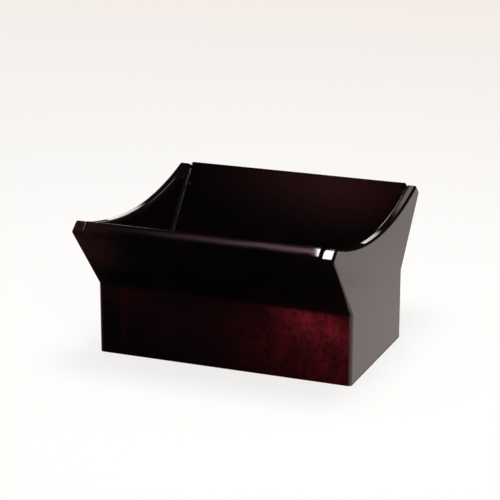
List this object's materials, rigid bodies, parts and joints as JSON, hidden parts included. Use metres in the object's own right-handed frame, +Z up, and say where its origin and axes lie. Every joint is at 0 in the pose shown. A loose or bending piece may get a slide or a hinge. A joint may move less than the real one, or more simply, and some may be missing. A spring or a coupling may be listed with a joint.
{
  "type": "charcoal box",
  "caption": "Open-topped lacquered wooden charcoal box: upright foot, long sides folded outward to a flared rim, and waisted end boards with a hollow curved top.",
  "frame": {"origin": "centre of the underside", "axes": "+X along the box from the left to the right end board, +Y to the rear, +Z up"},
  "size_m": [0.273, 0.2764, 0.1537],
  "materials": {
    "lacquered_wood": "near-black red-brown lacquer polished to a mirror gloss, with the red showing through",
    "bare_wood": "planed softwood",
    "lacquer_putty": "lacquer and wood-dust putty, lacquered black",
    "bamboo": "split and shaved bamboo"
  },
  "bodies": {
    "root": {"bottom_board": "lacquered_wood", "left_end_board": "lacquered_wood", "right_end_board": "lacquered_wood", "front_lower_board": "lacquered_wood", "rear_lower_board": "lacquered_wood", "front_flare_board": "lacquered_wood", "rear_flare_board": "lacquered_wood", "front_fold_tongue": "bare_wood", "rear_fold_tongue": "bare_wood", "left_front_cove": "lacquer_putty", "left_rear_cove": "lacquer_putty", "right_front_cove": "lacquer_putty", "right_rear_cove": "lacquer_putty", "left_front_pins": "bamboo", "left_rear_pins": "bamboo", "right_front_pins": "bamboo", "right_rear_pins": "bamboo", "bottom_pins": "bamboo"}
  },
  "joints": []
}
